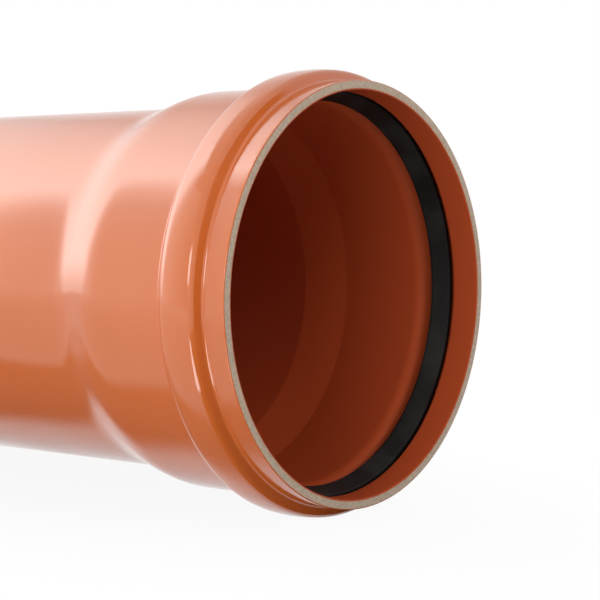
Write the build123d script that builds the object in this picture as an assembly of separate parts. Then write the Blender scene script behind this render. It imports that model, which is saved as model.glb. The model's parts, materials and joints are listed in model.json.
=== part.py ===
from build123d import *
import math
import os

# Sewer pipe of orange PVC, DN 160, with a formed ring-seal socket at one end and a chamfered spigot at the
# other. It lies on the floor on its socket bead and its spigot, with the mouth towards +X.
# Sizes are in millimetres. A depth is measured along the pipe's axis, from the mouth towards the spigot.

# Barrel and spigot
BARREL_OUTER_RADIUS = 80.0
BARREL_WALL = 4.7
LAYING_LENGTH = 500.0           # from the spigot's end to the stop for the next spigot, inside the socket
SPIGOT_CHAMFER_LENGTH = 9.0
SPIGOT_CHAMFER_ANGLE = 15.0     # degrees from the axis

# Socket body, which takes the next pipe's spigot
SOCKET_CLEARANCE = 1.0          # between the socket's wall and a spigot, on the radius
SOCKET_WALL = 5.5
SOCKET_DEPTH = 70.7             # from the mouth to the start of the inner taper
TAPER_LENGTH = 20.7
TAPER_LAG = 4.7                 # the outside of the taper lies this much deeper than its inside
OUTER_TAPER_ROUND = 40.0
INNER_TAPER_ROUND = 8.0

# Lip, the plain ring in front of the bead
LIP_CLEARANCE = 4.2             # between the lip and a spigot, on the radius
LIP_WALL = 4.1
LIP_LENGTH = 10.7               # outside, from the mouth to the foot of the bead
RIM_CHAMFER = 0.5

# Bead, the bulge over the ring groove: a steep front, a slightly crowned top and a sloping back
BEAD_HEIGHT = 5.2               # of the crest above the lip
BEAD_CREST_SETBACK = 10.2       # of the crest behind the lip
BEAD_CROWN_RADIUS = 45.0        # of the top's curve along the axis
BEAD_FRONT_LENGTH = 2.0         # of the front, along the axis
BEAD_BACK_SETBACK = 17.3        # of the top of the back, behind the lip
BEAD_LENGTH = 25.8              # from the lip to the back's foot
BEAD_FRONT_FOOT_CHAMFER = 1.0
BEAD_FRONT_ROUND = 2.2
BEAD_BACK_ROUND = 6.5
BEAD_BACK_FOOT_ROUND = 3.0

# Ring groove inside the bead
GROOVE_LEAD = 1.8               # the lip reaches this much deeper inside than outside
GROOVE_WALL = 4.3               # under the bead's crest
GROOVE_FRONT_LENGTH = 3.0
GROOVE_FLOOR_LENGTH = 9.0
GROOVE_BACK_LENGTH = 3.0
GROOVE_FLOOR_CHAMFER = 1.2
GROOVE_SHOULDER_ROUND = 7.0     # of the back edge, towards the socket's wall

# Rubber lip ring
RING_SEAT_GAP = 0.3             # between the ring and the groove's floor
RING_SPIGOT_GAP = 0.65          # between the sealing lip and a spigot, on the radius
RING_BASE_THICKNESS = 3.6
RING_BASE_LENGTH = 7.4
RING_NOSE_LEAD = 2.2            # the nose stands this much in front of the base
RING_NOSE_RADIUS_STEP = 0.3     # the nose lies this much inside the lip's inner radius
RING_LIP_LENGTH = 7.2           # from the nose to the sealing land
RING_LAND_LENGTH = 1.0
RING_LIP_THICKNESS = 1.6
RING_NOSE_CHAMFER = 0.6
RING_BASE_CHAMFER = 0.6

# Radii and depths that follow from those
barrel_inner_radius = BARREL_OUTER_RADIUS - BARREL_WALL
socket_inner_radius = BARREL_OUTER_RADIUS + SOCKET_CLEARANCE
socket_outer_radius = socket_inner_radius + SOCKET_WALL
lip_inner_radius = BARREL_OUTER_RADIUS + LIP_CLEARANCE
lip_outer_radius = lip_inner_radius + LIP_WALL
bead_crest_radius = lip_outer_radius + BEAD_HEIGHT
groove_floor_radius = bead_crest_radius - GROOVE_WALL
spigot_end_radius = BARREL_OUTER_RADIUS - SPIGOT_CHAMFER_LENGTH * math.tan(math.radians(SPIGOT_CHAMFER_ANGLE))

total_length = SOCKET_DEPTH + LAYING_LENGTH
chamfer_depth = total_length - SPIGOT_CHAMFER_LENGTH
bead_front_depth = LIP_LENGTH + BEAD_FRONT_LENGTH
bead_crest_depth = LIP_LENGTH + BEAD_CREST_SETBACK
bead_back_depth = LIP_LENGTH + BEAD_BACK_SETBACK
bead_foot_depth = LIP_LENGTH + BEAD_LENGTH
bead_crown_centre_radius = bead_crest_radius - BEAD_CROWN_RADIUS
groove_mouth_depth = LIP_LENGTH + GROOVE_LEAD
groove_floor_start = groove_mouth_depth + GROOVE_FRONT_LENGTH
groove_floor_end = groove_floor_start + GROOVE_FLOOR_LENGTH
groove_shoulder_depth = groove_floor_end + GROOVE_BACK_LENGTH


def at(depth, radius):
    """A point of the wall's section: the axis is X, the mouth is at X = 0 and the spigot lies towards -X."""
    return Vector(-depth, 0, radius)


def crown_radius(depth):
    """Outer radius of the bead's crowned top at a depth: an arc with its centre under the crest."""
    return bead_crown_centre_radius + math.sqrt(BEAD_CROWN_RADIUS ** 2 - (depth - bead_crest_depth) ** 2)


def rounded(face, corners):
    """The face with each of its corners, given as (point, radius), rounded to that radius."""
    for point, radius in corners:
        corner = face.vertices().sort_by_distance(point)[0]
        face = face.fillet_2d(radius, [corner])
    return face


def bevelled(face, corners):
    """The face with each of its corners, given as (point, size), cut off by that size along both sides."""
    for point, size in corners:
        corner = face.vertices().sort_by_distance(point)[0]
        face = face.chamfer_2d(size, size, [corner])
    return face


def turned(face):
    """The section turned once round the pipe's axis."""
    return revolve(face, axis=Axis.X, revolution_arc=360)


def make_pipe():
    """Lip, bead, socket, taper, barrel and spigot as one turned wall."""
    rim_outer = at(0, lip_outer_radius)
    bead_front_foot = at(LIP_LENGTH, lip_outer_radius)
    bead_front_top = at(bead_front_depth, crown_radius(bead_front_depth))
    bead_crest = at(bead_crest_depth, bead_crest_radius)
    bead_back_top = at(bead_back_depth, crown_radius(bead_back_depth))
    bead_back_foot = at(bead_foot_depth, socket_outer_radius)
    outer_taper_start = at(SOCKET_DEPTH + TAPER_LAG, socket_outer_radius)
    outer_taper_end = at(SOCKET_DEPTH + TAPER_LAG + TAPER_LENGTH, BARREL_OUTER_RADIUS)
    chamfer_start = at(chamfer_depth, BARREL_OUTER_RADIUS)
    spigot_outer = at(total_length, spigot_end_radius)
    spigot_inner = at(total_length, barrel_inner_radius)
    inner_taper_end = at(SOCKET_DEPTH + TAPER_LENGTH, barrel_inner_radius)
    inner_taper_start = at(SOCKET_DEPTH, socket_inner_radius)
    groove_shoulder = at(groove_shoulder_depth, socket_inner_radius)
    groove_floor_back = at(groove_floor_end, groove_floor_radius)
    groove_floor_front = at(groove_floor_start, groove_floor_radius)
    groove_mouth = at(groove_mouth_depth, lip_inner_radius)
    rim_inner = at(0, lip_inner_radius)

    front = Polyline(rim_outer, bead_front_foot, bead_front_top)
    crown = ThreePointArc(bead_front_top, bead_crest, bead_back_top)
    outside = Polyline(bead_back_top, bead_back_foot, outer_taper_start, outer_taper_end, chamfer_start,
                       spigot_outer)
    end = Line(spigot_outer, spigot_inner)
    inside = Polyline(spigot_inner, inner_taper_end, inner_taper_start, groove_shoulder, groove_floor_back,
                      groove_floor_front, groove_mouth, rim_inner, rim_outer)
    section = Face(Wire([*front.edges(), *crown.edges(), *outside.edges(), *end.edges(), *inside.edges()]))
    section = bevelled(section, [
        (rim_outer, RIM_CHAMFER),
        (rim_inner, RIM_CHAMFER),
        (bead_front_foot, BEAD_FRONT_FOOT_CHAMFER),
        (groove_floor_back, GROOVE_FLOOR_CHAMFER),
        (groove_floor_front, GROOVE_FLOOR_CHAMFER),
    ])
    section = rounded(section, [
        (bead_front_top, BEAD_FRONT_ROUND),
        (bead_back_top, BEAD_BACK_ROUND),
        (bead_back_foot, BEAD_BACK_FOOT_ROUND),
        (outer_taper_start, OUTER_TAPER_ROUND),
        (outer_taper_end, OUTER_TAPER_ROUND),
        (inner_taper_end, INNER_TAPER_ROUND),
        (inner_taper_start, INNER_TAPER_ROUND),
        (groove_shoulder, GROOVE_SHOULDER_ROUND),
    ])
    return turned(section)


def make_seal_ring():
    """A base seated on the groove's floor and a sealing lip that slopes back and inwards from its nose."""
    base_outer_radius = groove_floor_radius - RING_SEAT_GAP
    base_inner_radius = base_outer_radius - RING_BASE_THICKNESS
    base_start = groove_floor_start + (GROOVE_FLOOR_LENGTH - RING_BASE_LENGTH) / 2
    base_end = base_start + RING_BASE_LENGTH
    nose_depth = base_start - RING_NOSE_LEAD
    nose_radius = lip_inner_radius - RING_NOSE_RADIUS_STEP
    land_radius = BARREL_OUTER_RADIUS + RING_SPIGOT_GAP
    land_start = nose_depth + RING_LIP_LENGTH
    land_end = land_start + RING_LAND_LENGTH

    base_front = at(base_start, base_outer_radius)
    nose = at(nose_depth, nose_radius)
    land_front = at(land_start, land_radius)
    land_back = at(land_end, land_radius)
    lip_back = at(land_end, land_radius + RING_LIP_THICKNESS)
    lip_root = at(base_start + RING_LIP_THICKNESS, base_inner_radius)
    base_back_inner = at(base_end, base_inner_radius)
    base_back_outer = at(base_end, base_outer_radius)

    outline = Polyline(base_front, nose, land_front, land_back, lip_back, lip_root, base_back_inner,
                       base_back_outer, base_front)
    section = Face(Wire(outline.edges()))
    section = bevelled(section, [
        (base_front, RING_BASE_CHAMFER),
        (base_back_outer, RING_BASE_CHAMFER),
        (nose, RING_NOSE_CHAMFER),
    ])
    return turned(section)


def lying_place(pipe):
    """Where the pipe lies on the floor: tilted until its bead and the edge of its spigot touch one level
    line, with the floor at Z = 0 and the middle of its length at X = 0."""
    run = chamfer_depth - bead_crest_depth
    drop = BARREL_OUTER_RADIUS - bead_crown_centre_radius
    tilt = math.asin(BEAD_CROWN_RADIUS / math.hypot(run, drop)) - math.atan2(drop, run)
    turn = Rot(Y=-math.degrees(tilt))
    box = (turn * pipe).bounding_box()
    return Pos(-box.center().X, 0, -box.min.Z) * turn


pipe = make_pipe()
seal_ring = make_seal_ring()
place = lying_place(pipe)

os.makedirs("parts", exist_ok=True)
export_step(place * pipe, "parts/pipe.step")
export_step(place * seal_ring, "parts/seal_ring.step")
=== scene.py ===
"""Orange sewer pipe with a ring-seal socket: its looks and a plain stage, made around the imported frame.

The pipe and its rubber ring are surfaces of revolution. A closed outline of the wall's section, in depth
behind the mouth and radius from the axis, is carried once round the axis.
"""

import json
import math

import bpy
import numpy as np
from bpy.props import FloatProperty, FloatVectorProperty, IntProperty, PointerProperty
from mathutils import Matrix, Vector


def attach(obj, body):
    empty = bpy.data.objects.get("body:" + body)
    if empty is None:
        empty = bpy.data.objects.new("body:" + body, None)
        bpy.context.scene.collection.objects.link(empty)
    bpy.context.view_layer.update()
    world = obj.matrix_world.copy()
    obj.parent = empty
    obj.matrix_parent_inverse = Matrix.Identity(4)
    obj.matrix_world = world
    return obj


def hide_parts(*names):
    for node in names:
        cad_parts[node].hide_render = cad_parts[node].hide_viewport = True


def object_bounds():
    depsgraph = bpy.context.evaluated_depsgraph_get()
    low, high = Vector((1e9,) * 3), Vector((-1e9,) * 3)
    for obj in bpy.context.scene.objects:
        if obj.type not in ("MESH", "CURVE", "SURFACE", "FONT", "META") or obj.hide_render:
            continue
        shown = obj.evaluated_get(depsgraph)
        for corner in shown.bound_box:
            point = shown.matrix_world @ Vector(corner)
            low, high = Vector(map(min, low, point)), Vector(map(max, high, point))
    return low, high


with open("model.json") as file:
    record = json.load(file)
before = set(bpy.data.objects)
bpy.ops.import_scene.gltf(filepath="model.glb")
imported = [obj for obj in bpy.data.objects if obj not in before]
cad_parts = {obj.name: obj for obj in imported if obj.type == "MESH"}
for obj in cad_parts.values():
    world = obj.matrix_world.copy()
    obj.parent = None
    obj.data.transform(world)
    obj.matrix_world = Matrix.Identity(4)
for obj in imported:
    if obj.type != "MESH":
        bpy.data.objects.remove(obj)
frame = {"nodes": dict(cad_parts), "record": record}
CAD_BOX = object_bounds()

bl_info = {
    "name": "Sewer pipe with a ring-seal socket",
    "version": (1, 0, 0),
    "blender": (4, 5, 0),
    "location": "View3D > Sidebar > Sewer pipe",
    "description": "Makes the orange pipe, its black rubber ring and a plain white stage",
    "category": "Add Mesh",
}

IMAGE_SIZE = 600          # pixels, width and height of the picture
SENSOR_WIDTH = 36.0       # millimetres
MM = 0.001                # metres


# Places taken from the frame

MOUNTS = {mount["name"]: mount for mount in frame["record"]["mounts"]}
AXIS_POINT = np.array(MOUNTS["socket"]["pos_m"])
OUT_OF_MOUTH = np.array(MOUNTS["socket"]["axis"]) / np.linalg.norm(MOUNTS["socket"]["axis"])
SOCKET_RADIUS = MOUNTS["socket"]["dims"]["r_mm"] * MM
SPIGOT_RADIUS = MOUNTS["spigot"]["dims"]["r_mm"] * MM


def along_axis(node):
    """Lowest and highest place of a CAD node along the pipe's axis, counted from the axis point towards the
    mouth."""
    mesh = frame["nodes"][node].data
    corners = np.empty(len(mesh.vertices) * 3, np.float32)
    mesh.vertices.foreach_get("co", corners)
    places = (corners.reshape(-1, 3) - AXIS_POINT) @ OUT_OF_MOUTH
    return float(places.min()), float(places.max())


SPIGOT_PLACE, MOUTH_PLACE = along_axis("pipe")
PIPE_LENGTH = MOUTH_PLACE - SPIGOT_PLACE
MOUTH_CENTRE = AXIS_POINT + MOUTH_PLACE * OUT_OF_MOUTH
INTO_PIPE = -OUT_OF_MOUTH
SIDEWAYS = np.array([0.0, 1.0, 0.0])
UPWARDS = np.cross(SIDEWAYS, INTO_PIPE)
TILT = math.atan2(OUT_OF_MOUTH[2], OUT_OF_MOUTH[0])


# Sizes and finishes a user would change


def length(name, description, default):
    """A length in metres, shown in the user's units."""
    return FloatProperty(name=name, description=description, default=default, min=0.0, precision=4,
                         subtype="DISTANCE", unit="LENGTH")


def turn(name, description, degrees):
    """An angle, given in degrees."""
    return FloatProperty(name=name, description=description, default=math.radians(degrees),
                         subtype="ANGLE", unit="ROTATION")


def colour(name, description, default):
    """A colour in Blender's linear light."""
    return FloatVectorProperty(name=name, description=description, default=default, size=3, min=0.0,
                               max=1.0, subtype="COLOR")


def share(name, description, default):
    """A number from 0 to 1."""
    return FloatProperty(name=name, description=description, default=default, min=0.0, max=1.0,
                         subtype="FACTOR")


def brightness(name, description, default):
    """How bright a light looks, where 1 is white."""
    return FloatProperty(name=name, description=description, default=default, min=0.0)


class PipeSizes(bpy.types.PropertyGroup):
    """Sizes of the pipe's wall, as in the frame, but with rounds for bevels and a slightly steeper bead."""

    barrel_radius: length("Barrel radius", "Outer radius of the barrel and its spigot", SPIGOT_RADIUS)
    barrel_wall: length("Barrel wall", "Thickness of the barrel's wall", 4.7 * MM)
    chamfer_length: length("Spigot chamfer", "Length of the chamfer on the spigot's end", 9.0 * MM)
    chamfer_angle: turn("Chamfer angle", "Slope of the chamfer to the axis", 15.0)
    socket_radius: length("Socket radius", "Inner radius of the socket's body", SOCKET_RADIUS)
    socket_wall: length("Socket wall", "Thickness of the socket's wall", 5.5 * MM)
    socket_depth: length("Socket depth", "From the mouth to the start of the inner taper", 70.7 * MM)
    taper_length: length("Taper length", "Length of the taper between socket and barrel", 20.7 * MM)
    taper_lag: length("Taper lag", "How much deeper the taper's outside lies than its inside", 4.7 * MM)
    outer_taper_round: length("Outer taper round", "Radius of the taper's outer bends", 40.0 * MM)
    inner_taper_round: length("Inner taper round", "Radius of the taper's inner bends", 2.0 * MM)
    lip_radius: length("Lip radius", "Inner radius of the lip", 84.2 * MM)
    lip_wall: length("Lip wall", "Thickness of the lip's wall", 4.1 * MM)
    lip_length: length("Lip length", "From the mouth to the foot of the bead", 10.7 * MM)
    rim_round: length("Rim round", "Radius of the rim's two edges", 0.4 * MM)
    bead_height: length("Bead height", "Height of the bead's crest above the lip", 5.2 * MM)
    bead_crest: length("Bead crest", "Distance of the bead's crest behind the lip", 10.2 * MM)
    bead_crown: length("Bead crown", "Radius of the bead's crowned top, along the axis", 45.0 * MM)
    bead_front: length("Bead front", "Length of the bead's steep front along the axis", 2.0 * MM)
    bead_back: length("Bead back", "Distance of the top of the bead's back behind the lip", 17.8 * MM)
    bead_length: length("Bead length", "From the lip to the foot of the bead's back", 24.7 * MM)
    bead_front_foot_round: length("Front foot round", "Radius of the hollow in front of the bead", 1.6 * MM)
    bead_front_round: length("Front round", "Radius of the bead's front shoulder", 3.4 * MM)
    bead_back_round: length("Back round", "Radius of the bead's back shoulder", 6.5 * MM)
    bead_back_foot_round: length("Back foot round", "Radius of the hollow behind the bead", 1.0 * MM)
    groove_lead: length("Groove lead", "How much deeper the lip reaches inside than outside", 1.8 * MM)
    groove_wall: length("Groove wall", "Thickness of the wall under the bead's crest", 4.3 * MM)
    groove_front: length("Groove front", "Length of the groove's front slope", 3.0 * MM)
    groove_floor: length("Groove floor", "Length of the groove's floor", 9.0 * MM)
    groove_back: length("Groove back", "Length of the groove's back slope", 3.0 * MM)
    groove_mouth_round: length("Groove mouth round", "Radius of the groove's front edge", 1.2 * MM)
    groove_floor_round: length("Groove floor round", "Radius of the groove's floor corners", 1.2 * MM)
    groove_shoulder_round: length("Groove shoulder round", "Radius of the groove's back edge", 7.0 * MM)
    wave_height: length("Wave height", "Height of the slight waves that extrusion leaves", 0.08 * MM)
    segments: IntProperty(name="Segments", description="Steps round the axis", default=192, min=24, max=720)


class RingSizes(bpy.types.PropertyGroup):
    """Sizes of the rubber ring in the groove, as in the frame, but with rounds for its edges."""

    seat_gap: length("Seat gap", "Between the ring and the groove's floor", 0.3 * MM)
    land_radius: length("Land radius", "Inner radius of the sealing lip's land", 80.65 * MM)
    base_thickness: length("Base thickness", "Thickness of the ring's base", 3.6 * MM)
    base_length: length("Base length", "Length of the ring's base along the axis", 7.4 * MM)
    nose_lead: length("Nose lead", "How far the nose stands in front of the base", 2.2 * MM)
    nose_step: length("Nose step", "How far the nose lies inside the lip's inner radius", 0.3 * MM)
    lip_length: length("Sealing lip length", "From the nose to the land", 7.2 * MM)
    land_length: length("Land length", "Length of the land", 1.0 * MM)
    lip_thickness: length("Sealing lip thickness", "Thickness of the sealing lip at the land", 1.6 * MM)
    nose_round: length("Nose round", "Radius of the nose", 0.6 * MM)
    edge_round: length("Edge round", "Radius of the ring's other edges", 0.3 * MM)


class PipeFinish(bpy.types.PropertyGroup):
    """Colours and gloss of the pipe and its ring."""

    orange: colour("Orange", "Colour of the pipe's outer skin", (0.64, 0.138, 0.018))
    deep_orange: colour("Deep orange", "Darker shade in the skin's faint clouds", (0.60, 0.128, 0.016))
    # The inside colour is darker and redder than the orange: painted shade for the inside of the pipe, on
    # top of the shade the render casts there.
    inside: colour("Inside", "Colour of the pipe's inner skin", (0.53, 0.088, 0.026))
    core: colour("Core", "Grey core on the cut ends", (0.64, 0.50, 0.375))
    dark_core: colour("Dark core", "Darker flecks in the core", (0.50, 0.385, 0.285))
    outer_skin: length("Outer skin", "Thickness of the orange skin outside the core", 0.40 * MM)
    inner_skin: length("Inner skin", "Thickness of the orange skin inside the core", 0.65 * MM)
    gloss_roughness: share("Skin roughness", "Roughness of the glossy skin", 0.12)
    inside_roughness: share("Inside roughness", "Roughness of the duller inner skin", 0.42)
    core_roughness: share("Core roughness", "Roughness of the cut core", 0.62)
    rubber: colour("Rubber", "Colour of the ring", (0.013, 0.013, 0.0125))
    rubber_roughness: share("Rubber roughness", "Roughness of the ring", 0.52)


class StageSettings(bpy.types.PropertyGroup):
    """Camera, floor and lights."""

    azimuth: turn("Azimuth", "Camera's turn round the pipe, from a look along +Y", 38.72)
    elevation: turn("Elevation", "Camera's height above the horizon", 5.37)
    lens: FloatProperty(name="Lens", description="Focal length in millimetres", default=104.35, min=1.0)
    distance: length("Distance", "From the camera to the mouth's centre, along the view", 716.5 * MM)
    mouth_x: FloatProperty(name="Mouth x", description="Pixel column of the mouth's centre", default=365.15)
    mouth_y: FloatProperty(name="Mouth y", description="Pixel row of the mouth's centre", default=295.4)
    floor_size: length("Floor size", "Side of the square floor", 8.0)
    floor: colour("Floor", "Colour of the floor", (0.60, 0.60, 0.60))
    room: brightness("Room", "Even light from all round, where 1 is white", 0.08)
    key: brightness("Key light", "Lit wall on the left, at its brighter end", 4.2)
    fill: brightness("Fill light", "Pale screen beside the wall, at its brighter end", 0.9)
    floor_glow: brightness("Floor glow", "Lit patch of floor on the left, in front of the pipe", 0.6)
    front: brightness("Front light", "Low, soft front light, which leaves no highlight", 5.6)
    mouth: brightness("Mouth light", "Soft light into the mouth, which leaves no highlight", 4.0)
    top: brightness("Top light", "Soft light from above, which leaves no highlight", 2.4)
    strip: brightness("Strip lights", "Two small lamps in front of the bead, one on the floor", 4.5)


# Outlines of turned sections: rows of (depth behind the mouth, radius from the axis)

LONG_STEP = 9.0 * MM      # along the barrel
SHORT_STEP = 3.0 * MM     # along the socket
CUT_STEP = 0.2 * MM       # across the cut ends, where the core shows
RING_STEP = 0.8 * MM      # round the rubber ring
ARC_STEP = math.radians(4.0)
CROWN_STEP = math.radians(1.0)


def arc(centre, start, end, step=ARC_STEP):
    """Points on the circle round centre from start to end, the short way, one for each step of turn."""
    first = start - centre
    last = end - centre
    begin = math.atan2(first[1], first[0])
    sweep = math.remainder(math.atan2(last[1], last[0]) - begin, math.tau)
    count = max(3, math.ceil(abs(sweep) / step) + 1)
    angles = begin + np.linspace(0.0, sweep, count)
    return centre + np.linalg.norm(first) * np.stack([np.cos(angles), np.sin(angles)], axis=1)


def corner_arc(before, corner, after, radius):
    """The arc that rounds a corner between two straight runs: it touches both runs, with its centre on the
    line that halves the corner."""
    to_before = (before - corner) / np.linalg.norm(before - corner)
    to_after = (after - corner) / np.linalg.norm(after - corner)
    half = 0.5 * math.acos(float(np.clip(to_before @ to_after, -1.0, 1.0)))
    middle = (to_before + to_after) / np.linalg.norm(to_before + to_after)
    reach = radius / math.tan(half)
    centre = corner + middle * radius / math.sin(half)
    return arc(centre, corner + to_before * reach, corner + to_after * reach)


def rounded_chain(before, corners, after):
    """The arcs of a chain of corners and the steps after them. Each corner is its depth, its radius, the
    radius of its round and the longest step along the straight run that follows it."""
    places = np.array([before, *[corner[:2] for corner in corners], after])
    arcs = [corner_arc(*places[i:i + 3], corner[2]) for i, corner in enumerate(corners)]
    return arcs, [corner[3] for corner in corners]


def closed_outline(arcs, steps):
    """One closed outline from arcs in order: each arc is followed by the straight run to the next arc,
    divided into equal parts no longer than its step."""
    rows = []
    for i, step in enumerate(steps):
        start = arcs[i][-1]
        end = arcs[(i + 1) % len(arcs)][0]
        count = max(1, math.ceil(float(np.linalg.norm(end - start)) / step))
        parts = np.arange(1, count)[:, None] / count
        rows += [arcs[i], start + parts * (end - start)]
    return np.concatenate(rows)


def shoulder_arc(foot, top, dome, dome_radius, radius):
    """The arc of a small circle that touches a straight flank, from its foot to its top, and the dome's
    large circle from inside. Its centre lies one radius inside the flank and one radius inside the dome."""
    flank = (top - foot) / np.linalg.norm(top - foot)
    inwards = np.array([flank[1], -flank[0]])
    inwards *= math.copysign(1.0, float(inwards @ (dome - foot)))
    away = foot + radius * inwards - dome
    reach = -away @ flank + math.sqrt((away @ flank) ** 2 - away @ away + (dome_radius - radius) ** 2)
    centre = dome + away + reach * flank
    on_dome = dome + (centre - dome) * dome_radius / (dome_radius - radius)
    return arc(centre, centre - radius * inwards, on_dome)


def bead_arcs(sizes, lip_outer, socket_outer):
    """Front hollow, front shoulder, crowned top, back shoulder and back hollow of the bead. The top is a
    large circle with its centre under the crest, and its two flanks are straight."""
    crest_depth = sizes.lip_length + sizes.bead_crest
    crest = np.array([crest_depth, lip_outer + sizes.bead_height])
    dome = crest - np.array([0.0, sizes.bead_crown])

    def on_crown(depth):
        return np.array([depth, dome[1] + math.sqrt(sizes.bead_crown ** 2 - (depth - crest_depth) ** 2)])

    front_foot = np.array([sizes.lip_length, lip_outer])
    front_top = on_crown(sizes.lip_length + sizes.bead_front)
    back_top = on_crown(sizes.lip_length + sizes.bead_back)
    back_foot = np.array([sizes.lip_length + sizes.bead_length, socket_outer])
    front = shoulder_arc(front_foot, front_top, dome, sizes.bead_crown, sizes.bead_front_round)
    back = shoulder_arc(back_foot, back_top, dome, sizes.bead_crown, sizes.bead_back_round)[::-1]
    rim = np.array([0.0, lip_outer])
    taper = np.array([sizes.socket_depth, socket_outer])
    front_hollow = corner_arc(rim, front_foot, front[0], sizes.bead_front_foot_round)
    back_hollow = corner_arc(back[-1], back_foot, taper, sizes.bead_back_foot_round)
    crown = arc(dome, front[-1], back[0], CROWN_STEP)
    return [front_hollow, front, crown[1:-1], back, back_hollow]


def pipe_outline(sizes):
    """The pipe's wall: outside from the rim to the spigot, its cut end, inside back to the rim, and the cut
    rim."""
    lip_outer = sizes.lip_radius + sizes.lip_wall
    socket_outer = sizes.socket_radius + sizes.socket_wall
    barrel_inner = sizes.barrel_radius - sizes.barrel_wall
    chamfer_drop = sizes.chamfer_length * math.tan(sizes.chamfer_angle)
    groove_mouth = sizes.lip_length + sizes.groove_lead
    floor_front = groove_mouth + sizes.groove_front
    floor_back = floor_front + sizes.groove_floor
    groove_radius = lip_outer + sizes.bead_height - sizes.groove_wall
    taper_start = sizes.socket_depth
    taper_end = sizes.socket_depth + sizes.taper_length

    rim_inner = (0.0, sizes.lip_radius)
    rim_outer = (0.0, lip_outer)
    edge = sizes.rim_round
    bead = bead_arcs(sizes, lip_outer, socket_outer)
    rim_arcs, rim_steps = rounded_chain(rim_inner, [(*rim_outer, edge, SHORT_STEP)], bead[0][0])
    wall_arcs, wall_steps = rounded_chain(
        bead[-1][-1],
        [
            (taper_start + sizes.taper_lag, socket_outer, sizes.outer_taper_round, SHORT_STEP),
            (taper_end + sizes.taper_lag, sizes.barrel_radius, sizes.outer_taper_round, LONG_STEP),
            (PIPE_LENGTH - sizes.chamfer_length, sizes.barrel_radius, edge, CUT_STEP),
            (PIPE_LENGTH, sizes.barrel_radius - chamfer_drop, edge, CUT_STEP),
            (PIPE_LENGTH, barrel_inner, edge, LONG_STEP),
            (taper_end, barrel_inner, sizes.inner_taper_round, SHORT_STEP),
            (taper_start, sizes.socket_radius, sizes.inner_taper_round, SHORT_STEP),
            (floor_back + sizes.groove_back, sizes.socket_radius, sizes.groove_shoulder_round, SHORT_STEP),
            (floor_back, groove_radius, sizes.groove_floor_round, SHORT_STEP),
            (floor_front, groove_radius, sizes.groove_floor_round, SHORT_STEP),
            (groove_mouth, sizes.lip_radius, sizes.groove_mouth_round, SHORT_STEP),
            (*rim_inner, edge, CUT_STEP),
        ],
        rim_outer,
    )
    arcs = [*rim_arcs, *bead, *wall_arcs]
    return closed_outline(arcs, [*rim_steps, *[SHORT_STEP] * len(bead), *wall_steps])


def ring_outline(sizes, ring):
    """The rubber ring: a base on the groove's floor and a lip that slopes back and inwards from the nose."""
    lip_outer = sizes.lip_radius + sizes.lip_wall
    base_outer = lip_outer + sizes.bead_height - sizes.groove_wall - ring.seat_gap
    base_inner = base_outer - ring.base_thickness
    floor_front = sizes.lip_length + sizes.groove_lead + sizes.groove_front
    base_front = floor_front + 0.5 * (sizes.groove_floor - ring.base_length)
    base_back = base_front + ring.base_length
    nose_depth = base_front - ring.nose_lead
    land_front = nose_depth + ring.lip_length
    land_back = land_front + ring.land_length
    edge = ring.edge_round
    corners = [
        (base_front, base_outer, edge, RING_STEP),
        (nose_depth, sizes.lip_radius - ring.nose_step, ring.nose_round, RING_STEP),
        (land_front, ring.land_radius, edge, RING_STEP),
        (land_back, ring.land_radius, edge, RING_STEP),
        (land_back, ring.land_radius + ring.lip_thickness, edge, RING_STEP),
        (base_front + ring.lip_thickness, base_inner, edge, RING_STEP),
        (base_back, base_inner, edge, RING_STEP),
        (base_back, base_outer, edge, RING_STEP),
    ]
    return closed_outline(*rounded_chain(corners[-1][:2], corners, corners[0][:2]))


# Surfaces turned round the pipe's axis

SLOW_WAVE = 0.31          # metres: lengths along the pipe of the three waves in its wall
MIDDLE_WAVE = 0.47
QUICK_WAVE = 0.115
CORE_ATTRIBUTE = "under_skin"
INSIDE_ATTRIBUTE = "inside"


def extrusion_waves(depth, angle, height):
    """Slight unevenness of an extruded wall, added to its radius: three long waves along the pipe, with two,
    five and nine turns round it, so the surface closes on itself."""
    slow = np.sin(2.0 * angle + 0.4) * np.sin(depth * math.tau / SLOW_WAVE + 0.7)
    middle = np.sin(5.0 * angle + 1.9 + depth * math.tau / MIDDLE_WAVE)
    quick = np.sin(9.0 * angle + 0.3) * np.sin(depth * math.tau / QUICK_WAVE + 2.1)
    return height * (0.5 * slow + 0.3 * middle + 0.2 * quick)


def turned_points(outline, segments, wave_height=0.0):
    """Grid of points with one row for each outline point and one column for each angle: mouth centre, plus
    the depth along the axis, plus the radius times the cosine upwards and the sine sideways."""
    angle = np.arange(segments)[None, :] * math.tau / segments
    depth = outline[:, :1]
    radius = outline[:, 1:] + extrusion_waves(depth, angle, wave_height)
    rising = radius * np.cos(angle)
    across = radius * np.sin(angle)
    return (
        MOUTH_CENTRE
        + np.broadcast_to(depth, rising.shape)[..., None] * INTO_PIPE
        + rising[..., None] * UPWARDS
        + across[..., None] * SIDEWAYS
    )


def closed_grid_mesh(name, points):
    """A mesh of quads over a grid that closes on itself both ways, smooth all over, with faces pointing
    outwards."""
    rows, columns = points.shape[:2]
    index = np.arange(rows * columns).reshape(rows, columns)
    below = np.roll(index, -1, axis=0)
    corners = np.stack([index, np.roll(index, -1, axis=1), np.roll(below, -1, axis=1), below], axis=-1)
    quads = corners.reshape(-1, 4)
    mesh = bpy.data.meshes.new(name)
    mesh.vertices.add(rows * columns)
    mesh.vertices.foreach_set("co", points.reshape(-1).astype(np.float32))
    mesh.loops.add(quads.size)
    mesh.loops.foreach_set("vertex_index", quads.reshape(-1).astype(np.int32))
    mesh.polygons.add(len(quads))
    mesh.polygons.foreach_set("loop_start", np.arange(0, quads.size, 4, dtype=np.int32))
    mesh.polygons.foreach_set("use_smooth", np.ones(len(quads), bool))
    mesh.update(calc_edges=True)
    mesh.validate()
    return mesh


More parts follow.
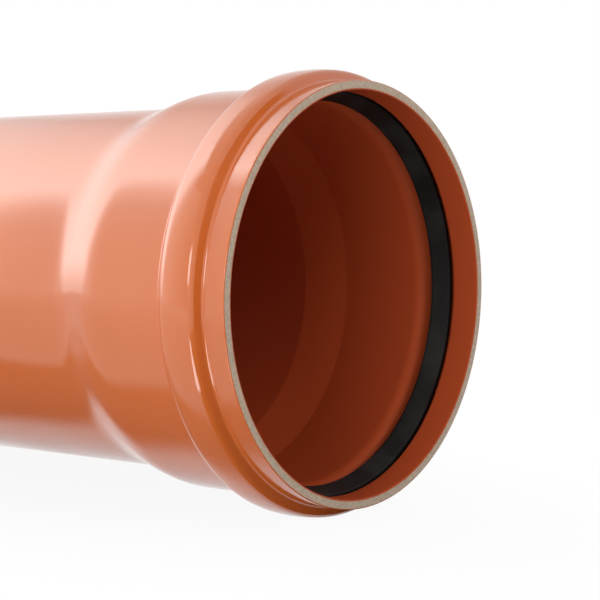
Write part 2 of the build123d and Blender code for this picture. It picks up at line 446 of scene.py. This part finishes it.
def mark_wall(mesh, outline, sizes, finish):
    """Writes two numbers for each vertex. One is how deep it lies in the wall, in thicknesses of the nearer
    skin: zero on the skins, and more on the rim and the spigot's cut. The other is 1 on the inner skin,
    which is the part of the outline after the spigot's inner edge. Faces between two such rows get the
    second material."""
    depth = outline[:, 0]
    radius = outline[:, 1]
    lip_middle = sizes.lip_radius + 0.5 * sizes.lip_wall

    def skins_deep(inner, outer):
        return np.minimum((radius - inner) / finish.inner_skin, (outer - radius) / finish.outer_skin)

    rim = skins_deep(sizes.lip_radius, sizes.lip_radius + sizes.lip_wall)
    spigot = skins_deep(sizes.barrel_radius - sizes.barrel_wall, sizes.barrel_radius)
    on_rim = depth < 0.5 * sizes.rim_round
    on_spigot = depth > PIPE_LENGTH - sizes.chamfer_length
    under = np.where(on_rim, rim, np.where(on_spigot, spigot, 0.0))
    after_end = np.arange(len(outline)) > np.argmax(depth)
    inside = after_end & ~(on_rim & (radius > lip_middle)) & ~(on_spigot & (spigot > 0.5))
    columns = len(mesh.vertices) // len(outline)
    for name, rows in ((CORE_ATTRIBUTE, np.maximum(under, 0.0)), (INSIDE_ATTRIBUTE, inside)):
        values = np.repeat(rows, columns).astype(np.float32)
        mesh.attributes.new(name, "FLOAT", "POINT").data.foreach_set("value", values)
    inner_faces = np.repeat(inside & np.roll(inside, -1), columns)
    mesh.polygons.foreach_set("material_index", inner_faces.astype(np.int32))


def add_object(name, data):
    """A new object in the scene, at the origin."""
    made = bpy.data.objects.new(name, data)
    bpy.context.scene.collection.objects.link(made)
    return made


def add_piece(name, mesh, materials, node):
    """Links the mesh as a piece on the root body, in place of its CAD node."""
    piece = add_object(name, mesh)
    for material in materials:
        mesh.materials.append(material)
    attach(piece, "root")
    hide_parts(node)


# Materials

OUTSIDE_SPECULAR = 0.85
INSIDE_SPECULAR = 0.15    # the inner skin is duller
RUBBER_SPECULAR = 0.15
PVC_IOR = 1.53
DRAWN_SCALE = 0.02        # of the drawn lines along the pipe, which makes them long
CLOUD_SCALE = 9.0         # these scales are about how many patches of a pattern lie in a metre
SKIN_SCALE = 24.0
BLOOM_SCALE = 60.0
LINE_SCALE = 260.0
RAGGED_SCALE = 420.0
FLECK_SCALE = 700.0
GRAIN_SCALE = 1600.0
SKIN_DEPTH = 0.6 * MM     # these depths are those of the bumps
LINE_DEPTH = 0.01 * MM
FLECK_DEPTH = 0.03 * MM
GRAIN_DEPTH = 0.02 * MM
RAGGED_REACH = 0.4        # skin thicknesses: how far the core's edge wanders
CORE_EDGE = (0.9, 1.5)    # skin thicknesses: where the core starts to show, and where it shows alone
GLOSS_SPREAD = 0.03       # how much the skin's roughness varies, to both sides
BLOOM_GAIN = 2.1          # how much lighter the rubber is where it has bloomed


class Shader:
    """A new material and short ways to add and join its nodes."""

    def __init__(self, name):
        self.material = bpy.data.materials.new(name)
        self.material.use_nodes = True
        self.tree = self.material.node_tree
        self.surface = self.tree.nodes["Principled BSDF"]

    def node(self, kind, **settings):
        made = self.tree.nodes.new(kind)
        for key, value in settings.items():
            setattr(made, key, value)
        return made

    def join(self, start, end):
        self.tree.links.new(start, end)

    def attribute(self, name):
        return self.node("ShaderNodeAttribute", attribute_name=name).outputs["Fac"]

    def along_pipe(self, stretch=1.0):
        """Object coordinates turned so that X runs along the pipe, with X then scaled."""
        place = self.node("ShaderNodeTexCoord")
        turned = self.node("ShaderNodeMapping", vector_type="POINT")
        turned.inputs["Rotation"].default_value = (0.0, TILT, 0.0)
        turned.inputs["Scale"].default_value = (stretch, 1.0, 1.0)
        self.join(place.outputs["Object"], turned.inputs["Vector"])
        return turned.outputs["Vector"]

    def noise(self, vector, scale, detail=3.0, roughness=0.5):
        cloud = self.node("ShaderNodeTexNoise")
        cloud.inputs["Scale"].default_value = scale
        cloud.inputs["Detail"].default_value = detail
        cloud.inputs["Roughness"].default_value = roughness
        self.join(vector, cloud.inputs["Vector"])
        return cloud.outputs["Fac"]

    def between(self, value, low, high, to_low=0.0, to_high=1.0):
        """The value's place between low and high, eased at both ends and spread from to_low to to_high."""
        ease = self.node("ShaderNodeMapRange", interpolation_type="SMOOTHSTEP")
        ease.inputs["From Min"].default_value = low
        ease.inputs["From Max"].default_value = high
        ease.inputs["To Min"].default_value = to_low
        ease.inputs["To Max"].default_value = to_high
        self.join(value, ease.inputs["Value"])
        return ease.outputs["Result"]

    def mix(self, factor, first, second, kind="RGBA"):
        """The first where the factor is 0 and the second where it is 1. The kind is RGBA or FLOAT."""
        blend = self.node("ShaderNodeMix", data_type=kind)
        self.join(factor, blend.inputs["Factor"])
        for value, socket in ((first, blend.inputs["A"]), (second, blend.inputs["B"])):
            if isinstance(value, bpy.types.NodeSocket):
                self.join(value, socket)
            elif kind == "RGBA":
                socket.default_value = (*value, 1.0)
            else:
                socket.default_value = value
        return blend.outputs["Result"]

    def bump(self, height, distance, strength=1.0, under=None):
        """A normal that rises with the height, laid over another one where that is given."""
        relief = self.node("ShaderNodeBump")
        relief.inputs["Strength"].default_value = strength
        relief.inputs["Distance"].default_value = distance
        self.join(height, relief.inputs["Height"])
        if under is not None:
            self.join(under, relief.inputs["Normal"])
        return relief.outputs["Normal"]


def pipe_material(name, specular, finish):
    """Glossy orange skins with faint clouds, drawn lines and a slightly uneven surface, and a matt flecked
    grey core where the wall is cut. The inner skin is duller, and darker and redder in colour: painted
    shade for the inside of the pipe."""
    shader = Shader(name)
    surface = shader.surface
    plain = shader.along_pipe()
    drawn = shader.along_pipe(DRAWN_SCALE)

    clouds = shader.noise(plain, CLOUD_SCALE, detail=2.0)
    outer_skin = shader.mix(shader.between(clouds, 0.35, 0.65), finish.orange, finish.deep_orange)
    inward = shader.attribute(INSIDE_ATTRIBUTE)
    # The inner skin's darker, redder colour is painted shade for the inside of the pipe.
    skin = shader.mix(inward, outer_skin, finish.inside)

    flecks = shader.noise(plain, FLECK_SCALE, roughness=0.6)
    core = shader.mix(shader.between(flecks, 0.30, 0.62), finish.dark_core, finish.core)

    uneven = shader.node("ShaderNodeMath", operation="MULTIPLY_ADD")
    uneven.inputs[1].default_value = RAGGED_REACH
    shader.join(shader.noise(plain, RAGGED_SCALE, detail=2.0), uneven.inputs[0])
    shader.join(shader.attribute(CORE_ATTRIBUTE), uneven.inputs[2])
    cut = shader.between(uneven.outputs["Value"], *CORE_EDGE)

    shader.join(shader.mix(cut, skin, core), surface.inputs["Base Color"])

    lines = shader.noise(drawn, LINE_SCALE, detail=4.0, roughness=0.6)
    roughness = finish.gloss_roughness
    gloss = shader.between(lines, 0.3, 0.7, roughness - GLOSS_SPREAD, roughness + GLOSS_SPREAD)
    skin_gloss = shader.mix(inward, gloss, finish.inside_roughness, "FLOAT")
    shader.join(shader.mix(cut, skin_gloss, finish.core_roughness, "FLOAT"), surface.inputs["Roughness"])

    uneven_skin = shader.bump(shader.noise(plain, SKIN_SCALE, detail=0.0), SKIN_DEPTH)
    relief = shader.bump(lines, LINE_DEPTH, 0.5, uneven_skin)
    shader.join(shader.bump(flecks, FLECK_DEPTH, 0.35, relief), surface.inputs["Normal"])
    surface.inputs["IOR"].default_value = PVC_IOR
    surface.inputs["Specular IOR Level"].default_value = specular
    return shader.material


def rubber_material(finish):
    """Black rubber, satin, with a fine moulded grain and a faint bloom."""
    shader = Shader("black_rubber")
    surface = shader.surface
    surface.inputs["Specular IOR Level"].default_value = RUBBER_SPECULAR
    plain = shader.along_pipe()
    grain = shader.noise(plain, GRAIN_SCALE)
    bloom = shader.noise(plain, BLOOM_SCALE)
    bloomed = tuple(BLOOM_GAIN * channel for channel in finish.rubber)
    colours = shader.mix(shader.between(bloom, 0.4, 0.75), finish.rubber, bloomed)
    shader.join(colours, surface.inputs["Base Color"])
    roughness = finish.rubber_roughness
    rough = shader.between(bloom, 0.3, 0.7, roughness - 0.05, roughness + 0.08)
    shader.join(rough, surface.inputs["Roughness"])
    shader.join(shader.bump(grain, GRAIN_DEPTH, 0.4), surface.inputs["Normal"])
    return shader.material


# Stage: lengths are in metres, azimuths in degrees from +X towards +Y

SHADOW_ZONE = (0.06, 0.20)      # across from the axis: where the seen shadow starts to fade, and is gone
SHADOW_STRETCH = 0.40           # how much narrower that zone is across the pipe than along it
SHADOW_WHITE = 0.92             # share of plain white in the shadow, which keeps it light
GLOSS_ZONE = (0.030, 0.050)     # the same for the dim strip of floor that only mirror rays see: a painted reflection on the pipe's skin
GLOSS_STRETCH = 0.12            # how much narrower that strip is across the pipe than along it
GLOSS_SHIFT = 0.090             # from the axis to the strip's middle, in front of the pipe
BESIDE_BARREL = (-0.04, 0.05)   # along +X: up to where that strip is pale, and from where it is dim
BESIDE_WHITE = 0.55             # share of plain white in its pale part: a painted pale reflection on the lower taper
SCREEN_CENTRE = 0.10            # along +X: the upright lamps stand round this place on the floor
SCREEN_DISTANCE = 1.5           # from there
FLOOR_GAP = 0.03                # between the floor and the lowest lamps
KEY_SPAN = (142.0, 214.0)       # azimuths of the lit wall's dim and bright end
KEY_TOP = 2.2
KEY_FOOT = 0.15                 # share of the wall's height in which it dims towards the floor
KEY_FOOT_LEVEL = 0.4            # how bright it is at the floor, as a share
KEY_END = 0.78                  # share of its width after which its bright end fades
KEY_END_LEVEL = 0.25            # how bright it is at that end, as a share
FILL_SPAN = (KEY_SPAN[1], 250.0)
FILL_TOP = 1.5
STRIP_SPAN = (258.0, 284.0)
STRIP_HEIGHTS = (0.3, 0.7)
FRONT_SPAN = (264.0, 304.0)
FRONT_TOP = 0.64
MOUTH_SPAN = (340.0, 380.0)
MOUTH_HEIGHTS = (0.5, 1.2)
TOP_PLACE = Vector((0.1, 1.1, 1.1))
TOP_SIZE = (1.2, 0.8)
GLOW_PLACE = Vector((-0.98, -0.55, FLOOR_GAP))
GLOW_SIZE = (2.45, 0.80)
LOW_STRIP_PLACE = Vector((0.27, -0.25, 0.004))
LOW_STRIP_SIZE = (0.07, 0.19)
# The dark card is seen only by mirror rays: a painted dark reflection on the bead's front and the rim.
CARD_PLACE = 1.1                # along +X: the dark card's upright part
CARD_SPAN = (-0.45, 0.9)        # along Y: its two sides
CARD_HEIGHT = 1.0
CARD_COLOUR = (0.10, 0.10, 0.10)
CARD_REACH = 0.012              # how far its part on the floor reaches under the mouth
CARD_LIFT = 0.001               # how high that part lies above the floor
CLIP_START = 0.01               # nearest that the camera sees


def join_nodes(tree, kind, *inputs, **settings):
    """A new node whose inputs, in order, are links from sockets or plain values."""
    made = tree.nodes.new(kind)
    for key, value in settings.items():
        setattr(made, key, value)
    for socket, value in zip(made.inputs, inputs):
        if isinstance(value, bpy.types.NodeSocket):
            tree.links.new(value, socket)
        elif value is not None:
            socket.default_value = value
    return made


def calculate(tree, operation, first, second):
    """The result of a Math node on two sockets."""
    return join_nodes(tree, "ShaderNodeMath", first, second, operation=operation).outputs["Value"]


def ramp(tree, value, start, end, low, high, easing="SMOOTHSTEP"):
    """A level that runs from low to high while the value runs from start to end."""
    made = join_nodes(tree, "ShaderNodeMapRange", value, start, end, low, high, interpolation_type=easing)
    return made.outputs["Result"]


def sees_background(tree):
    """1 for camera, mirror and see-through rays, and 0 for the rays that carry light to the object."""
    path = tree.nodes.new("ShaderNodeLightPath")
    straight = path.outputs["Is Camera Ray"]
    for name in ("Is Glossy Ray", "Is Transmission Ray"):
        straight = calculate(tree, "MAXIMUM", straight, path.outputs[name])
    return straight


def floor_fade(tree, stretch, shift, start, end, least):
    """Share of plain white on the floor: least inside an oval along the pipe, rising to 1 from start to end,
    both measured across the pipe. The oval's middle lies a shift in front of the axis."""
    place = tree.nodes.new("ShaderNodeTexCoord").outputs["Object"]
    oval = join_nodes(tree, "ShaderNodeMapping", place, (0.0, shift, 0.0), None, (stretch, 1.0, 1.0))
    away = join_nodes(tree, "ShaderNodeVectorMath", oval.outputs["Vector"], operation="LENGTH")
    return ramp(tree, away.outputs["Value"], start, end, least, 1.0)


def painted_pale_reflection(tree):
    """Share of plain white that the mirrored floor keeps beside the barrel, with none beside the socket: a
    painted pale reflection on the lower taper.
    """
    place = tree.nodes.new("ShaderNodeTexCoord").outputs["Object"]
    along = join_nodes(tree, "ShaderNodeSeparateXYZ", place).outputs["X"]
    return ramp(tree, along, *BESIDE_BARREL, BESIDE_WHITE, 0.0)


def make_floor(settings):
    """A white square under the pipe. The camera sees its lit surface near the pipe, with the pipe's soft
    shadow, and plain white further away. Mirror rays see a painted reflection: the lit floor in a dim
    strip beside the socket, partly white beside the barrel, and white elsewhere."""
    half = 0.5 * settings.floor_size
    corners = [(-half, -half, 0.0), (half, -half, 0.0), (half, half, 0.0), (-half, half, 0.0)]
    mesh = bpy.data.meshes.new("floor")
    mesh.from_pydata(corners, [], [(0, 1, 2, 3)])
    material = bpy.data.materials.new("white_floor")
    material.use_nodes = True
    tree = material.node_tree
    tree.nodes.clear()
    lit = join_nodes(tree, "ShaderNodeBsdfDiffuse", (*settings.floor, 1.0)).outputs["BSDF"]
    white = join_nodes(tree, "ShaderNodeEmission").outputs["Emission"]
    seen = floor_fade(tree, SHADOW_STRETCH, 0.0, *SHADOW_ZONE, SHADOW_WHITE)
    strip = floor_fade(tree, GLOSS_STRETCH, GLOSS_SHIFT, *GLOSS_ZONE, 0.0)
    # What mirror rays see is a painted reflection, set apart from the camera's view: dim beside the socket,
    # pale beside the barrel.
    mirrored = calculate(tree, "MAXIMUM", strip, painted_pale_reflection(tree))
    path = tree.nodes.new("ShaderNodeLightPath")
    by_ray = join_nodes(tree, "ShaderNodeMix", path.outputs["Is Camera Ray"], None, mirrored, seen)
    share_white = calculate(tree, "MULTIPLY", by_ray.outputs[0], sees_background(tree))
    shown = join_nodes(tree, "ShaderNodeMixShader", share_white, lit, white).outputs["Shader"]
    output = tree.nodes.new("ShaderNodeOutputMaterial")
    tree.links.new(shown, output.inputs["Surface"])
    mesh.materials.append(material)
    add_object("floor", mesh)


def make_room(scene, settings):
    """An even pale room: white to what sees it as background, dimmer as light on the object."""
    world = bpy.data.worlds.new("pale_room")
    world.use_nodes = True
    tree = world.node_tree
    level = ramp(tree, sees_background(tree), 0.0, 1.0, settings.room, 1.0, "LINEAR")
    tree.links.new(level, tree.nodes["Background"].inputs["Strength"])
    tree.nodes["Background"].inputs["Color"].default_value = (1.0, 1.0, 1.0, 1.0)
    scene.world = world


def area_lamp(name, size, level, place, towards):
    """A rectangular lamp at a place, facing towards a direction. Its power is pi times its area times its
    brightness."""
    lamp = bpy.data.lights.new(name, "AREA")
    lamp.shape = "RECTANGLE"
    lamp.size, lamp.size_y = size
    lamp.energy = math.pi * size[0] * size[1] * level
    made = add_object(name, lamp)
    facing = towards.to_track_quat("-Z", "Y").to_matrix().to_4x4()
    made.matrix_world = Matrix.Translation(place) @ facing
    return made


def lit_screen(name, span, heights, level):
    """An upright lamp that faces the pipe between two azimuths and two heights."""
    start, end = span
    bottom, top = heights
    middle = math.radians(0.5 * (start + end))
    width = 2.0 * SCREEN_DISTANCE * math.tan(math.radians(0.5 * (end - start)))
    outwards = Vector((math.cos(middle), math.sin(middle), 0.0))
    place = Vector((SCREEN_CENTRE, 0.0, 0.5 * (bottom + top))) + SCREEN_DISTANCE * outwards
    return area_lamp(name, (width, top - bottom), level, place, -outwards)


def fade_lamp(lamp, side, start, end, low, high, easing="SMOOTHSTEP"):
    """Multiplies a lamp's brightness by a level that runs from low to high between two places along its side
    X or Y, which are shares of that side."""
    lamp.use_nodes = True
    tree = lamp.node_tree
    strength = tree.nodes["Emission"].inputs["Strength"]
    across = tree.nodes.new("ShaderNodeNewGeometry").outputs["Parametric"]
    place = join_nodes(tree, "ShaderNodeSeparateXYZ", across).outputs[side]
    level = ramp(tree, place, start, end, low, high, easing)
    if strength.is_linked:
        level = calculate(tree, "MULTIPLY", strength.links[0].from_socket, level)
    tree.links.new(level, strength)


def make_lights(settings):
    """A lit wall from the back round to the left, which dims towards the back, a pale screen beside it and a
    lit patch of floor give the skin its broad highlights. Two small strips give the bead its thin ones. Soft
    lights from the front, above and into the mouth are hidden from mirror rays."""
    upwards = Vector((0.0, 0.0, 1.0))
    wall = lit_screen("key_wall", KEY_SPAN, (FLOOR_GAP, KEY_TOP), settings.key)
    fade_lamp(wall.data, "X", 0.0, 1.0, 0.0, 1.0, "LINEAR")
    fade_lamp(wall.data, "Y", 0.0, KEY_FOOT, KEY_FOOT_LEVEL, 1.0)
    fade_lamp(wall.data, "X", KEY_END, 1.0, 1.0, KEY_END_LEVEL)
    screen = lit_screen("left_screen", FILL_SPAN, (FLOOR_GAP, FILL_TOP), settings.fill)
    fade_lamp(screen.data, "X", 0.0, 1.0, 1.0, 0.0, "LINEAR")
    glow = area_lamp("floor_glow", GLOW_SIZE, settings.floor_glow, GLOW_PLACE, upwards)
    fade_lamp(glow.data, "Y", 0.0, 1.0, 1.0, 0.0, "LINEAR")
    lit_screen("front_strip", STRIP_SPAN, STRIP_HEIGHTS, settings.strip)
    low_strip = area_lamp("low_strip", LOW_STRIP_SIZE, settings.strip, LOW_STRIP_PLACE, upwards)
    low_strip.visible_diffuse = False
    for soft in (
        lit_screen("front_softbox", FRONT_SPAN, (FLOOR_GAP, FRONT_TOP), settings.front),
        lit_screen("mouth_softbox", MOUTH_SPAN, MOUTH_HEIGHTS, settings.mouth),
        area_lamp("top_softbox", TOP_SIZE, settings.top, TOP_PLACE, -TOP_PLACE),
    ):
        soft.visible_glossy = False


def make_dark_card():
    """A dark card in front of the mouth, with an upright part and a part on the floor. Only mirror rays see
    it, so it paints a dark reflection on the bead's front and the rim, and it keeps no light from the pipe."""
    near = CAD_BOX[1][0] - CARD_REACH
    profile = ((near, CARD_LIFT), (CARD_PLACE, CARD_LIFT), (CARD_PLACE, CARD_HEIGHT))
    corners = [(x, y, z) for x, z in profile for y in CARD_SPAN]
    mesh = bpy.data.meshes.new("dark_card")
    mesh.from_pydata(corners, [], [(0, 1, 3, 2), (2, 3, 5, 4)])
    material = bpy.data.materials.new("dark_card")
    material.use_nodes = True
    surface = material.node_tree.nodes["Principled BSDF"]
    surface.inputs["Base Color"].default_value = (*CARD_COLOUR, 1.0)
    mesh.materials.append(material)
    card = add_object("dark_card", mesh)
    card.visible_camera = False
    card.visible_diffuse = False
    card.visible_shadow = False


def make_camera(settings):
    """A level camera turned to the photograph's view, placed so that the mouth's centre falls on its
    pixel."""
    azimuth = settings.azimuth
    rise = settings.elevation
    right = Vector((math.cos(azimuth), math.sin(azimuth), 0.0))
    back = Vector((math.sin(azimuth) * math.cos(rise), -math.cos(azimuth) * math.cos(rise), math.sin(rise)))
    up = back.cross(right)
    metres_per_pixel = settings.distance * SENSOR_WIDTH / (settings.lens * IMAGE_SIZE)
    across = (settings.mouth_x - 0.5 * IMAGE_SIZE) * metres_per_pixel
    above = (0.5 * IMAGE_SIZE - settings.mouth_y) * metres_per_pixel
    place = Vector(MOUTH_CENTRE) - across * right - above * up + settings.distance * back

    data = bpy.data.cameras.new("photo_camera")
    data.sensor_width = SENSOR_WIDTH
    data.lens = settings.lens
    data.clip_start = CLIP_START
    camera = add_object("photo_camera", data)
    axes = Matrix((right, up, back)).transposed().to_4x4()
    camera.matrix_world = Matrix.Translation(place) @ axes
    return camera


# Operators and panel


class SEWERPIPE_OT_pipe(bpy.types.Operator):
    """Make the orange pipe in place of its CAD node"""

    bl_idname = "sewerpipe.pipe"
    bl_label = "Make pipe"

    def execute(self, context):
        sizes = context.scene.sewer_pipe_sizes
        finish = context.scene.sewer_pipe_finish
        outline = pipe_outline(sizes)
        mesh = closed_grid_mesh("pipe_wall", turned_points(outline, sizes.segments, sizes.wave_height))
        mark_wall(mesh, outline, sizes, finish)
        outer = pipe_material("orange_pvc", OUTSIDE_SPECULAR, finish)
        # A second copy of the PVC for the inner skin: duller, with its colour darkened as painted shade.
        inner = pipe_material("orange_pvc_inside", INSIDE_SPECULAR, finish)
        add_piece("pipe_wall", mesh, [outer, inner], "pipe")
        return {"FINISHED"}


class SEWERPIPE_OT_seal_ring(bpy.types.Operator):
    """Make the rubber ring in place of its CAD node"""

    bl_idname = "sewerpipe.seal_ring"
    bl_label = "Make seal ring"

    def execute(self, context):
        sizes = context.scene.sewer_pipe_sizes
        outline = ring_outline(sizes, context.scene.sewer_ring_sizes)
        mesh = closed_grid_mesh("rubber_ring", turned_points(outline, sizes.segments))
        material = rubber_material(context.scene.sewer_pipe_finish)
        add_piece("rubber_ring", mesh, [material], "seal_ring")
        return {"FINISHED"}


class SEWERPIPE_OT_stage(bpy.types.Operator):
    """Make the floor, the lights and the camera"""

    bl_idname = "sewerpipe.stage"
    bl_label = "Make stage"

    def execute(self, context):
        settings = context.scene.sewer_stage
        make_floor(settings)
        make_room(context.scene, settings)
        make_lights(settings)
        # Adds the card that paints a dark reflection on the bead's front and the rim.
        make_dark_card()
        context.scene.camera = make_camera(settings)
        context.scene.view_settings.view_transform = "Standard"
        return {"FINISHED"}


class SEWERPIPE_PT_sidebar(bpy.types.Panel):
    """Buttons and sizes of the sewer pipe in the 3D view's sidebar"""

    bl_idname = "SEWERPIPE_PT_sidebar"
    bl_label = "Sewer pipe"
    bl_space_type = "VIEW_3D"
    bl_region_type = "UI"
    bl_category = "Sewer pipe"

    def draw(self, context):
        for operator in OPERATORS:
            self.layout.operator(operator.bl_idname)
        for name in SCENE_SETTINGS:
            group = getattr(context.scene, name)
            box = self.layout.box()
            for key in group.__annotations__:
                box.prop(group, key)


OPERATORS = (SEWERPIPE_OT_pipe, SEWERPIPE_OT_seal_ring, SEWERPIPE_OT_stage)
SCENE_SETTINGS = {
    "sewer_pipe_sizes": PipeSizes,
    "sewer_ring_sizes": RingSizes,
    "sewer_pipe_finish": PipeFinish,
    "sewer_stage": StageSettings,
}
CLASSES = (*SCENE_SETTINGS.values(), *OPERATORS, SEWERPIPE_PT_sidebar)


def register():
    for made in CLASSES:
        bpy.utils.register_class(made)
    for name, group in SCENE_SETTINGS.items():
        setattr(bpy.types.Scene, name, PointerProperty(type=group))


def unregister():
    for name in SCENE_SETTINGS:
        delattr(bpy.types.Scene, name)
    for made in reversed(CLASSES):
        bpy.utils.unregister_class(made)


def main():
    register()
    bpy.ops.sewerpipe.pipe()
    bpy.ops.sewerpipe.seal_ring()
    bpy.ops.sewerpipe.stage()


if __name__ == "__main__":
    main()
